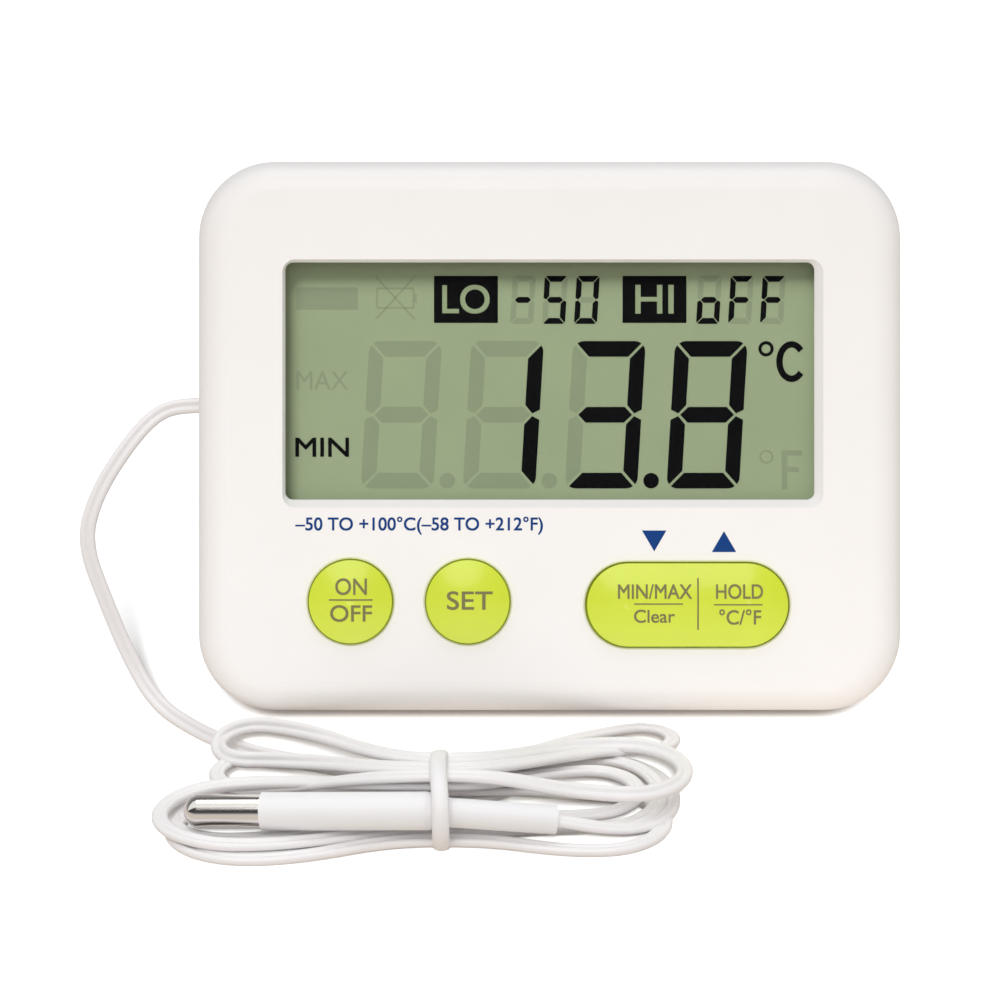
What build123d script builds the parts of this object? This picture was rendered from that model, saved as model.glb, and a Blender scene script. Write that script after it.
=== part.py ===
"""Digital probe thermometer: a two-shell housing leaning on a fold-out stand, its display, keys,
board and battery, and a temperature probe on a twin cord that is tied up in a hank."""

import math
import os

from build123d import *

# ---------------------------------------------------------------- driving dimensions (mm, degrees)
# Housing
case_width = 110.0
case_height = 86.0
case_corner_radius = 12.0
front_edge_radius = 4.8
rear_edge_radius = 2.5
wall = 2.0
rear_shell_depth = 9.5
lap_height = 1.5
lap_clearance = 0.1
seam_chamfer = 0.3
lean_angle = 20.0

# Display window and the glass behind it
window_width = 82.5
window_height = 37.0
window_mat_gap = 2.65
window_corner_radius = 1.2
bevel_depth = 1.4
bevel_width_near = 0.35
bevel_width_far = 1.25
lens_margin_x = 4.75
lens_margin_y = 5.0
lens_thickness = 1.2
lens_corner_radius = 1.0
lens_clearance = 0.2
lens_rib_thickness = 1.0
lens_rib_height = 2.6
display_gap = 0.1
glass_thickness = 1.1
glass_margin_x = 2.75
glass_margin_y = 2.5
contact_ledge = 3.2
reflector_thickness = 0.3
reflector_inset = 1.0
frame_floor = 1.0
frame_clearance = 0.2
frame_window_inset = 4.0
contact_strip_width = 2.0
contact_strip_inset = 0.5

# Keys
round_key_diameter = 12.9
round_key_height = 17.15
on_off_key_x = -31.0
set_key_x = -12.77
rocker_length = 31.2
rocker_width = 12.9
rocker_x = 21.35
rocker_height = 16.65
key_gap = 0.25
rocker_end_gap = 0.35
key_hole_chamfer = 0.25
key_proud = 0.8
key_crown = 0.85
key_wall = 1.4
key_flange = 1.1
key_flange_thickness = 0.9
key_seat_gap = 0.05
key_travel = 1.0
key_post_diameter = 4.0
rocker_angle = 3.0
rocker_flange_gap = 1.1
rocker_pad_width = 0.8
rocker_post_offset = 10.2

# Board, rubber key mat and what is soldered to the board
board_thickness = 1.2
board_edge_clearance = 1.0
board_box_gap = 0.2
board_boss_clearance = 0.4
board_hook_x = 20.0
board_hook_width = 6.0
board_hook_thickness = 1.2
board_hook_reach = 2.2
mat_thickness = 0.8
mat_margin = 1.75
mat_dome_diameter = 7.0
mat_dome_slope = 1.0
mat_dome_gap = 0.05
chip_radius = 6.0
chip_height = 1.5
chip_x = -8.0
chip_y = 46.0
crystal_diameter = 2.0
crystal_length = 6.0
crystal_x = 6.0
crystal_y = 40.0
capacitor_diameter = 5.0
capacitor_length = 5.4
capacitor_x = -26.0
capacitor_y = 26.0
chip_rounding = 0.7

# Screws
case_screw_side = 5.8
case_screw_edge = 7.8
case_boss_radius = 3.0
case_screw_radius = 1.25
case_screw_head_radius = 2.4
case_screw_head_height = 1.6
case_screw_length = 11.0
case_screw_sink = 5.0
screw_hole_clearance = 0.15
screw_head_clearance = 0.3
screw_fit = 0.05
screw_slot = 0.7
screw_column_wall = 1.0
screw_tip_gap = 0.3
board_boss_radius = 2.1
board_screw_radius = 0.8
board_screw_head_radius = 1.7
board_screw_head_height = 1.1
board_screw_length = 4.2
board_screw_mat_gap = 1.2

# Battery, its compartment and sliding door
cell_diameter = 10.5
cell_length = 44.5
cell_nub_diameter = 3.8
cell_nub_length = 0.9
cell_clearance = 0.25
battery_side = 20.0
battery_top = 7.5
compartment_wall = 1.2
spring_space = 4.2
contact_thickness = 0.4
contact_width = 8.0
door_width = 17.0
door_thickness = 1.6
door_lap = 3.0
door_clearance = 0.15
door_tongue_width = 0.8
door_tongue_thickness = 0.7
door_travel = 50.0
door_grip_count = 4
door_grip_pitch = 2.2
door_grip_width = 0.9
door_grip_depth = 0.5
door_grip_length = 10.0
door_ledge = 1.5

# Fold-out stand
stand_pivot_top = 25.0
stand_pivot_depth = 2.0
stand_back_angle = 14.0
stand_width = 36.0
stand_thickness = 2.4
stand_barrel_radius = 2.0
stand_pin_radius = 1.3
stand_pin_length = 1.8
stand_pin_clearance = 0.06
stand_heel = 3.5
stand_side_clearance = 0.3
stand_depth_clearance = 0.3
stand_stop_gap = 0.02
stand_foot_radius = 4.0
stand_border = 4.0
stand_panel_depth = 0.8
recess_floor = 1.5
recess_cheek = 3.0

# Wall-hanging keyhole
keyhole_radius = 4.0
keyhole_top = 14.0
keyhole_slot_width = 4.2
keyhole_slot_rise = 7.0
keyhole_pocket_depth = 4.3
keyhole_pocket_wall = 1.2
keyhole_pocket_margin = 0.8

# Alarm buzzer
buzzer_diameter = 20.0
buzzer_thickness = 3.0
buzzer_x = -36.0
buzzer_height = 60.0
sound_hole_radius = 0.8
sound_hole_ring = 4.0
sound_hole_count = 6

# Probe cord: the twin cord's free stretch, its hank, tie and probe
cord_diameter = 2.5
cord_exit_height = 48.0
cord_exit_depth = 6.0
cord_hole_clearance = 0.15
clamp_gap = 2.5
clamp_thickness = 1.2
clamp_half_height = 3.5
clamp_clearance = 0.1
lead_diameter = 1.2
lead_spread = 1.05
lead_gap = 0.05
lead_straight = 2.3
lead_rise_run = 4.5
lead_pad_height = 44.0
probe_radius = 2.5
probe_length = 36.0
probe_tip_radius = 2.3
probe_wall = 0.3
bead_radius = 1.1
bead_length = 3.0
probe_tip_point = (-54.0, -60.0, 4.7)
probe_cap_point = (-18.0, -64.6, 7.0)
sleeve_end_point = (0.4, -62.8, 4.7)
sleeve_cover = 24.4
sleeve_wall = 0.3
sleeve_neck_radius = 2.15
neck_share = 0.82
tie_centre = (-16.3, -60.3)
tie_width = 2.4
tie_thickness = 0.9
tie_span = 18.8
tie_height = 13.6

# Free stretch of the cord, from the housing's side wall down to the surface and on to the hank
cord_route = [
    (-58.6, 2.7, 46.8),
    (-63.2, 0.9, 45.6),
    (-68.0, -2.0, 40.4),
    (-72.4, -4.8, 33.6),
    (-74.2, -7.1, 26.8),
    (-70.8, -9.6, 17.6),
    (-67.0, -11.9, 8.6),
    (-62.8, -15.4, 2.6),
    (-57.4, -21.0, 1.3),
    (-51.4, -27.6, 1.3),
    (-44.6, -33.0, 1.3),
]

# Outer shape of the hank, as its strands on the ground and those heaped behind the probe: position
# along X, centre in Y, width, underside and top of each section
hank_ground_sections = [
    (-59.2, -57.6, 9.0, 0.4, 3.6),
    (-55.5, -57.6, 19.5, 0.0, 3.4),
    (-45.0, -58.0, 22.4, 0.0, 2.4),
    (-30.0, -58.5, 17.0, 0.0, 2.8),
    (-16.3, -58.8, 13.0, 0.9, 3.8),
    (-3.0, -57.5, 17.0, 0.0, 2.8),
    (8.0, -52.0, 29.0, 0.0, 2.6),
    (15.0, -52.0, 25.0, 0.0, 2.6),
    (19.6, -53.0, 12.0, 0.4, 2.4),
]
hank_heap_sections = [
    (-51.4, -42.0, 17.0, 1.0, 5.4),
    (-47.0, -44.0, 30.4, 0.4, 6.0),
    (-39.0, -45.4, 27.6, 0.4, 7.3),
    (-33.0, -49.2, 20.6, 0.6, 9.4),
    (-24.0, -54.0, 13.0, 1.0, 11.8),
    (-16.3, -57.0, 9.4, 1.8, 11.4),
    (-9.0, -55.5, 11.8, 1.0, 11.4),
    (0.0, -48.8, 22.4, 0.6, 9.6),
    (9.0, -43.6, 31.4, 0.4, 7.8),
    (15.0, -42.6, 33.0, 0.4, 7.4),
    (18.5, -42.6, 30.0, 0.6, 7.2),
    (21.2, -46.5, 16.0, 2.0, 6.8),
]
hank_corner_share = 0.45
bend_share = 0.45

# ---------------------------------------------------------------- heights above the rear face
cell_axis = door_thickness + cell_clearance + cell_diameter / 2
battery_ceiling = cell_axis + cell_diameter / 2 + cell_clearance
board_rear = battery_ceiling + compartment_wall + board_box_gap
board_front = board_rear + board_thickness
reflector_rear = board_front + frame_floor
glass_rear = reflector_rear + reflector_thickness
glass_middle = glass_rear + glass_thickness
glass_front = glass_middle + glass_thickness
lens_rear = glass_front + display_gap
inner_front = lens_rear + lens_thickness
case_depth = inner_front + wall
mat_front = board_front + mat_thickness
key_flange_front = inner_front - key_seat_gap
key_flange_rear = key_flange_front - key_flange_thickness
key_post_end = key_flange_rear - key_flange_thickness
mat_dome_front = key_post_end - key_travel - mat_dome_gap
recess_depth = stand_thickness + stand_depth_clearance
door_recess_depth = door_thickness + door_clearance
key_edge = case_depth + key_proud
rocker_flange_front = inner_front - rocker_flange_gap
rocker_pivot = key_flange_front
rocker_swing = (rocker_post_offset + key_post_diameter / 2) * math.sin(math.radians(rocker_angle))
rocker_post_end = mat_dome_front + mat_dome_gap + rocker_swing
case_screw_end = case_screw_sink + case_screw_length
board_screw_end = board_rear + board_screw_length

# ---------------------------------------------------------------- places across the housing
mat_left = on_off_key_x - round_key_diameter / 2 - mat_margin
mat_right = rocker_x + rocker_length / 2 + mat_margin
mat_low = round_key_height - round_key_diameter / 2 - mat_margin
mat_high = round_key_height + round_key_diameter / 2 + mat_margin
window_centre_height = mat_high + window_mat_gap + lens_margin_y + window_height / 2
glass_x = window_width / 2 + glass_margin_x
glass_low = window_centre_height - window_height / 2 - glass_margin_y
glass_high = window_centre_height + window_height / 2 + glass_margin_y
strip_x = glass_x - frame_window_inset
strip_low = glass_low + contact_strip_inset
rocker_post_places = [
    (rocker_x - rocker_post_offset, rocker_height),
    (rocker_x + rocker_post_offset, rocker_height),
]
key_post_places = [
    (on_off_key_x, round_key_height),
    (set_key_x, round_key_height),
    *rocker_post_places,
]
rocker_pad_offset = rocker_width / 2 + key_gap + (key_flange - key_gap) / 2
case_screw_x = case_width / 2 - case_screw_side
board_screw_left = mat_left - board_screw_mat_gap - board_boss_radius
board_screw_right = mat_right + board_screw_mat_gap + board_boss_radius
battery_x = case_width / 2 - battery_side
battery_left = battery_x - cell_diameter / 2 - cell_clearance
battery_right = battery_x + cell_diameter / 2 + cell_clearance
battery_high = case_height - battery_top
cell_low = battery_high - contact_thickness - cell_length
battery_low = cell_low - spring_space - contact_thickness
door_low = battery_low - door_lap
door_left = battery_x - door_width / 2
door_right = battery_x + door_width / 2
groove_left = door_left - door_tongue_width - door_clearance
groove_right = door_right + door_tongue_width + door_clearance
recess_x = stand_width / 2 + stand_side_clearance
cheek_x = recess_x + recess_cheek
socket_x = stand_width / 2 + stand_pin_length + stand_side_clearance
stand_pivot_height = case_height - stand_pivot_top
keyhole_height = case_height - keyhole_top
pocket_x = keyhole_radius + keyhole_pocket_margin + keyhole_pocket_wall
pocket_low = keyhole_height - keyhole_radius - keyhole_pocket_margin - keyhole_pocket_wall
pocket_high = (
    keyhole_height + keyhole_slot_rise + keyhole_slot_width / 2 + keyhole_pocket_wall
)
lead_start_x = wall + lead_gap - case_width / 2
clamp_left = wall + clamp_gap - case_width / 2
clamp_right = clamp_left + clamp_thickness
clamp_low = cord_exit_height - clamp_half_height
clamp_high = cord_exit_height + clamp_half_height
lead_bend_x = clamp_right + lead_straight
lead_pad_x = lead_bend_x + lead_rise_run

# ---------------------------------------------------------------- the housing's tilted frame
lean = math.radians(lean_angle)
back = math.radians(stand_back_angle)
stand_open_angle = lean_angle + stand_back_angle
stand_open = math.radians(stand_open_angle)

# Hinge pocket: deep enough for the stand's heel, whose inner corner meets its floor when open
stand_inner = stand_thickness - stand_pivot_depth
hinge_recess_depth = (
    stand_pivot_depth
    + stand_heel * math.sin(stand_open)
    + stand_inner * math.cos(stand_open)
    + stand_stop_gap
)
recess_top = stand_pivot_height + math.hypot(stand_heel, stand_pivot_depth) + stand_side_clearance
recess_step = stand_pivot_height - stand_barrel_radius - stand_side_clearance

# Height of the rear face's lower edge line, so that the rounded rear edge rests on the ground
rear_z = rear_edge_radius * (1 - math.cos(lean) - math.sin(lean))
pivot_z = (rear_z + stand_pivot_height * math.cos(lean) + stand_pivot_depth * math.sin(lean))
pivot_y = stand_pivot_height * math.sin(lean) - stand_pivot_depth * math.cos(lean)
stand_length = (pivot_z + stand_pivot_depth * math.sin(back)) / math.cos(back)
foot_y = pivot_y + stand_length * math.sin(back) + stand_pivot_depth * math.cos(back)
chin_y = (
    front_edge_radius * math.sin(lean)
    - (case_depth - front_edge_radius) * math.cos(lean)
    - front_edge_radius
)
# The origin lies on the ground, midway between the housing's chin and the stand's foot
rear_y = -(chin_y + foot_y) / 2

rear_plane = Plane(
    origin=(0, rear_y, rear_z),
    x_dir=(1, 0, 0),
    z_dir=(0, -math.cos(lean), math.sin(lean)),
)
front_axis = Axis(rear_plane.origin, rear_plane.z_dir)
pivot = rear_plane.from_local_coords(Vector(0, stand_pivot_height, stand_pivot_depth))
middle_height = case_height / 2


def level(height):
    """Plane parallel to the housing's rear face, raised towards its front."""
    return rear_plane.offset(height)


def side_plane(x, height, depth, facing=1):
    """Plane across the housing's width at a point given in the housing's own frame."""
    return Plane(
        origin=rear_plane.from_local_coords(Vector(x, height, depth)),
        x_dir=rear_plane.y_dir,
        z_dir=(facing, 0, 0),
    )


def up_plane(x, height, depth, facing=1):
    """Plane square to the housing's height at a point given in the housing's own frame."""
    return Plane(
        origin=rear_plane.from_local_coords(Vector(x, height, depth)),
        x_dir=(1, 0, 0),
        z_dir=rear_plane.y_dir * facing,
    )


def outline(inset=0.0, mode=Mode.ADD):
    """The housing's rounded outline, drawn inside by the inset."""
    with Locations((0, middle_height)):
        RectangleRounded(
            case_width - 2 * inset,
            case_height - 2 * inset,
            case_corner_radius - inset,
            mode=mode,
        )


def window_outline(grown=0.0, shift=0.0):
    """The display window's rounded outline, grown all round and shifted right and down."""
    with Locations((shift, window_centre_height - shift)):
        RectangleRounded(
            window_width + 2 * grown, window_height + 2 * grown, window_corner_radius + grown
        )


def lens_outline(grown=0.0):
    """Outline of the clear window, which the frame behind it shares, grown all round."""
    with Locations((0, window_centre_height)):
        RectangleRounded(
            window_width + 2 * (lens_margin_x + grown),
            window_height + 2 * (lens_margin_y + grown),
            lens_corner_radius,
        )


def span_outline(left, right, low, high):
    """A rectangle between two widths and two heights of the housing's frame."""
    with Locations(((left + right) / 2, (low + high) / 2)):
        Rectangle(right - left, high - low)


def key_outline(name, growth=0.0, end_growth=None):
    """Outline of one key, grown all round."""
    end_growth = growth if end_growth is None else end_growth
    x, height, length, width = keys[name]
    with Locations((x, height)):
        if length > width:
            SlotOverall(length + 2 * end_growth, width + 2 * growth)
        else:
            Circle(width / 2 + growth)


def case_point(x, height, depth):
    """A point given in the housing's own frame, in the part's frame."""
    return rear_plane.from_local_coords(Vector(x, height, depth))


def finish(part, name):
    """Label a finished piece and write it to its own file."""
    part.label = name
    export_step(part, f"parts/{name}.step")


# Each key's place, length and width
keys = {
    "button_on_off": (on_off_key_x, round_key_height, round_key_diameter, round_key_diameter),
    "button_set": (set_key_x, round_key_height, round_key_diameter, round_key_diameter),
    "button_rocker": (rocker_x, rocker_height, rocker_length, rocker_width),
}
case_screw_places = [
    (side * case_screw_x, height)
    for side in (-1, 1)
    for height in (case_screw_edge, case_height - case_screw_edge)
]
board_screw_places = [(board_screw_left, round_key_height), (board_screw_right, round_key_height)]

os.makedirs("parts", exist_ok=True)

# ---------------------------------------------------------------- front shell
with BuildPart() as front_shell:
    with BuildSketch(level(rear_shell_depth)):
        outline()
    extrude(amount=case_depth - rear_shell_depth)
    fillet(front_shell.faces().sort_by(front_axis)[-1].edges(), front_edge_radius)
    offset(amount=-wall, openings=front_shell.faces().sort_by(front_axis)[0])

    # Rib round the clear window's pocket, and the bosses for both sets of screws
    with BuildSketch(level(inner_front)):
        lens_outline(lens_clearance + lens_rib_thickness)
    extrude(amount=-lens_rib_height)
    with BuildSketch(level(inner_front)):
        with Locations(case_screw_places):
            Circle(case_boss_radius)
    extrude(amount=rear_shell_depth - inner_front)
    with BuildSketch(level(inner_front)):
        with Locations(board_screw_places):
            Circle(board_boss_radius)
    extrude(amount=board_front - inner_front)
    with BuildSketch(level(inner_front)):
        lens_outline(lens_clearance)
    extrude(amount=board_front - inner_front, mode=Mode.SUBTRACT)

    # Two hooks behind the board's upper edge
    with BuildSketch(level(board_rear)):
        for side in (-1, 1):
            span_outline(
                side * board_hook_x - board_hook_width / 2,
                side * board_hook_x + board_hook_width / 2,
                case_height - wall - board_hook_reach,
                case_height - wall / 2,
            )
    extrude(amount=-board_hook_thickness)

    # Rebate that takes the rear shell's lap
    with BuildSketch(level(rear_shell_depth)):
        outline(wall / 2 - lap_clearance / 2)
        outline(wall + lap_clearance, mode=Mode.SUBTRACT)
    extrude(amount=lap_height + lap_clearance, mode=Mode.SUBTRACT)

    # Screw pilot holes
    with BuildSketch(level(rear_shell_depth)):
        with Locations(case_screw_places):
            Circle(case_screw_radius + screw_fit)
    extrude(amount=case_screw_end + screw_tip_gap - rear_shell_depth, mode=Mode.SUBTRACT)
    with BuildSketch(level(board_front)):
        with Locations(board_screw_places):
            Circle(board_screw_radius + screw_fit)
    extrude(amount=board_screw_end + screw_tip_gap - board_front, mode=Mode.SUBTRACT)

    # Window with its bevelled edge, and the key holes
    with BuildSketch(level(inner_front)):
        window_outline()
    extrude(amount=wall, mode=Mode.SUBTRACT)
    with BuildSketch(level(case_depth - bevel_depth)):
        window_outline()
    with BuildSketch(level(case_depth)):
        window_outline(
            (bevel_width_far + bevel_width_near) / 2, (bevel_width_far - bevel_width_near) / 2
        )
    loft(mode=Mode.SUBTRACT)
    with BuildSketch(level(inner_front)):
        for name in keys:
            key_outline(name, key_gap, rocker_end_gap)
    extrude(amount=wall, mode=Mode.SUBTRACT)
    chamfer(front_shell.edges(Select.LAST).group_by(front_axis)[-1], key_hole_chamfer)
finish(front_shell.part, "front_shell")

# ---------------------------------------------------------------- rear shell
with BuildPart() as rear_shell:
    with BuildSketch(level(0)):
        outline()
    extrude(amount=rear_shell_depth)
    fillet(rear_shell.faces().sort_by(front_axis)[0].edges(), rear_edge_radius)
    offset(amount=-wall, openings=rear_shell.faces().sort_by(front_axis)[-1])
    rim = rear_shell.faces().sort_by(front_axis)[-1]
    chamfer(rim.outer_wire().edges(), seam_chamfer)
    with BuildSketch(level(rear_shell_depth)):
        outline(wall / 2 + lap_clearance / 2)
        outline(wall, mode=Mode.SUBTRACT)
    extrude(amount=lap_height)

    # Solid ground for the stand's recess, the door's seat, the battery box, the keyhole's pocket,
    # the screw columns and the cord clamp
    with BuildSketch(level(wall / 2)):
        span_outline(-cheek_x, cheek_x, wall / 2, recess_step)
    extrude(amount=recess_depth + recess_floor - wall / 2)
    with BuildSketch(level(wall / 2)):
        span_outline(-cheek_x, cheek_x, recess_step, recess_top + recess_floor)
    extrude(amount=hinge_recess_depth + recess_floor - wall / 2)
    with BuildSketch(level(wall / 2)):
        span_outline(
            groove_left - door_ledge,
            groove_right + door_ledge,
            door_low - door_clearance - door_ledge,
            case_height - wall / 2,
        )
    extrude(amount=door_recess_depth + door_ledge - wall / 2)
    with BuildSketch(level(wall / 2)):
        span_outline(
            battery_left - compartment_wall,
            battery_right + compartment_wall,
            battery_low - compartment_wall,
            battery_high + compartment_wall,
        )
    extrude(amount=battery_ceiling + compartment_wall - wall / 2)
    with BuildSketch(level(wall / 2)):
        span_outline(-pocket_x, pocket_x, pocket_low, pocket_high)
    extrude(amount=wall / 2 + keyhole_pocket_depth + keyhole_pocket_wall)
    with BuildSketch(level(wall / 2)):
        with Locations(case_screw_places):
            Circle(case_screw_head_radius + screw_head_clearance + screw_column_wall)
    extrude(amount=rear_shell_depth - wall / 2)
    with BuildSketch(level(wall / 2)):
        span_outline(clamp_left, clamp_right, clamp_low, clamp_high)
    extrude(amount=cord_exit_depth + lead_diameter - wall / 2)

    # Stand recess, open at the lower edge, with a deeper pocket round the hinge
    with BuildSketch(level(0)):
        span_outline(-recess_x, recess_x, -case_corner_radius, recess_step)
    extrude(amount=recess_depth, mode=Mode.SUBTRACT)
    with BuildSketch(level(0)):
        span_outline(-recess_x, recess_x, recess_step, recess_top)
    extrude(amount=hinge_recess_depth, mode=Mode.SUBTRACT)
    with BuildSketch(side_plane(-socket_x, stand_pivot_height, stand_pivot_depth)):
        Circle(stand_pin_radius + stand_pin_clearance)
    extrude(amount=2 * socket_x, mode=Mode.SUBTRACT)

    # Door seat with side grooves that run out at the upper edge, and the battery box behind it
    with BuildSketch(level(0)):
        span_outline(
            door_left - door_clearance,
            door_right + door_clearance,
            door_low - door_clearance,
            case_height + wall,
        )
    extrude(amount=door_recess_depth, mode=Mode.SUBTRACT)
    with BuildSketch(level(door_thickness - door_tongue_thickness - door_clearance)):
        span_outline(groove_left, groove_right, door_low - door_clearance, case_height + wall)
    extrude(
        amount=door_recess_depth - door_thickness + door_tongue_thickness + door_clearance,
        mode=Mode.SUBTRACT,
    )
    with BuildSketch(level(0)):
        span_outline(battery_left, battery_right, battery_low, battery_high)
    extrude(amount=battery_ceiling, mode=Mode.SUBTRACT)

    # Keyhole and the pocket behind it for the head of a wall screw
    with BuildSketch(level(0)):
        with Locations((0, keyhole_height)):
            Circle(keyhole_radius)
        with Locations((0, keyhole_height + keyhole_slot_rise / 2)):
            Rectangle(keyhole_slot_width, keyhole_slot_rise)
        with Locations((0, keyhole_height + keyhole_slot_rise)):
            Circle(keyhole_slot_width / 2)
    extrude(amount=wall, mode=Mode.SUBTRACT)
    with BuildSketch(level(wall)):
        span_outline(
            keyhole_pocket_wall - pocket_x,
            pocket_x - keyhole_pocket_wall,
            pocket_low + keyhole_pocket_wall,
            pocket_high - keyhole_pocket_wall,
        )
    extrude(amount=keyhole_pocket_depth, mode=Mode.SUBTRACT)

    # Counterbored screw holes, sound holes of the buzzer, and the cord's exit through the side
    with BuildSketch(level(0)):
        with Locations(case_screw_places):
            Circle(case_screw_head_radius + screw_head_clearance)
    extrude(amount=case_screw_sink, mode=Mode.SUBTRACT)
    with BuildSketch(level(0)):
        with Locations(case_screw_places):
            Circle(case_screw_radius + screw_hole_clearance)
    extrude(amount=rear_shell_depth, mode=Mode.SUBTRACT)
    with BuildSketch(level(0)):
        with Locations((buzzer_x, buzzer_height)):
            Circle(sound_hole_radius)
            with PolarLocations(sound_hole_ring, sound_hole_count):
                Circle(sound_hole_radius)
    extrude(amount=wall, mode=Mode.SUBTRACT)
    with BuildSketch(side_plane(-case_width / 2, cord_exit_height, cord_exit_depth)):
        Circle(cord_diameter / 2 + cord_hole_clearance)
    extrude(amount=wall, mode=Mode.SUBTRACT)
    with BuildSketch(side_plane(clamp_left, cord_exit_height, cord_exit_depth)):
        with Locations((0, lead_diameter)):
            Rectangle(2 * lead_diameter + 2 * clamp_clearance, 3 * lead_diameter + 2 * clamp_clearance)
    extrude(amount=clamp_right - clamp_left, mode=Mode.SUBTRACT)
finish(rear_shell.part, "rear_shell")

# ---------------------------------------------------------------- display
with BuildPart() as display_window:
    with BuildSketch(level(lens_rear)):
        lens_outline()
    extrude(amount=lens_thickness)
finish(display_window.part, "display_window")

with BuildPart() as lcd_front_glass:
    with BuildSketch(level(glass_middle)):
        span_outline(-glass_x, glass_x, glass_low, glass_high)
    extrude(amount=glass_thickness)
finish(lcd_front_glass.part, "lcd_front_glass")

with BuildPart() as lcd_rear_glass:
    with BuildSketch(level(glass_rear)):
        span_outline(-glass_x, glass_x, glass_low + contact_ledge, glass_high)
    extrude(amount=glass_thickness)
finish(lcd_rear_glass.part, "lcd_rear_glass")

with BuildPart() as lcd_reflector:
    with BuildSketch(level(reflector_rear)):
        span_outline(
            reflector_inset - glass_x,
            glass_x - reflector_inset,
            glass_low + contact_ledge + reflector_inset,
            glass_high - reflector_inset,
        )
    extrude(amount=reflector_thickness)
finish(lcd_reflector.part, "lcd_reflector")

with BuildPart() as lcd_frame:
    with BuildSketch(level(board_front)):
        lens_outline()
    extrude(amount=glass_front - board_front)
    with BuildSketch(level(board_front + frame_floor)):
        span_outline(
            -glass_x - frame_clearance,
            glass_x + frame_clearance,
            glass_low - frame_clearance,
            glass_high + frame_clearance,
        )
    extrude(amount=glass_front - board_front - frame_floor, mode=Mode.SUBTRACT)
    with BuildSketch(level(board_front)):
        span_outline(
            frame_window_inset - glass_x,
            glass_x - frame_window_inset,
            glass_low + contact_ledge + frame_window_inset,
            glass_high - frame_window_inset,
        )
        span_outline(
            -strip_x - frame_clearance,
            strip_x + frame_clearance,
            strip_low - frame_clearance,
            strip_low + contact_strip_width + frame_clearance,
        )
    extrude(amount=frame_floor, mode=Mode.SUBTRACT)
finish(lcd_frame.part, "lcd_frame")

with BuildPart() as contact_strip:
    with BuildSketch(level(board_front)):
        span_outline(-strip_x, strip_x, strip_low, strip_low + contact_strip_width)
    extrude(amount=glass_middle - board_front)
finish(contact_strip.part, "contact_strip")

# ---------------------------------------------------------------- board and its parts
with BuildPart() as main_board:
    with BuildSketch(level(board_rear)):
        outline(wall + board_edge_clearance)
        with Locations(case_screw_places):
            Circle(case_boss_radius + board_boss_clearance, mode=Mode.SUBTRACT)
        with Locations(board_screw_places):
            Circle(board_screw_radius + screw_hole_clearance, mode=Mode.SUBTRACT)
    extrude(amount=board_thickness)
finish(main_board.part, "main_board")

with BuildPart() as controller_chip:
    with BuildSketch(level(board_rear)):
        with Locations((chip_x, chip_y)):
            Circle(chip_radius)
    extrude(amount=-chip_height)
    fillet(controller_chip.faces().sort_by(front_axis)[0].edges(), chip_height * chip_rounding)
finish(controller_chip.part, "controller_chip")

with BuildPart() as crystal_can:
    with BuildSketch(side_plane(crystal_x, crystal_y, board_rear - crystal_diameter / 2)):
        Circle(crystal_diameter / 2)
    extrude(amount=crystal_length)
finish(crystal_can.part, "crystal_can")

with BuildPart() as capacitor:
    with BuildSketch(level(board_rear)):
        with Locations((capacitor_x, capacitor_y)):
            Circle(capacitor_diameter / 2)
    extrude(amount=-capacitor_length)
finish(capacitor.part, "capacitor")

with BuildPart() as buzzer_disc:
    with BuildSketch(level(wall)):
        with Locations((buzzer_x, buzzer_height)):
            Circle(buzzer_diameter / 2)
    extrude(amount=buzzer_thickness)
finish(buzzer_disc.part, "buzzer_disc")

with BuildPart() as key_mat:
    with BuildSketch(level(board_front)):
        span_outline(mat_left, mat_right, mat_low, mat_high)
    extrude(amount=mat_thickness)
    with Locations([level(mat_front).location * Location((x, y, 0)) for x, y in key_post_places]):
        Cone(
            mat_dome_diameter / 2,
            mat_dome_diameter / 2 - mat_dome_slope,
            mat_dome_front - mat_front,
            align=(Align.CENTER, Align.CENTER, Align.MIN),
        )
finish(key_mat.part, "key_mat")

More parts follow.
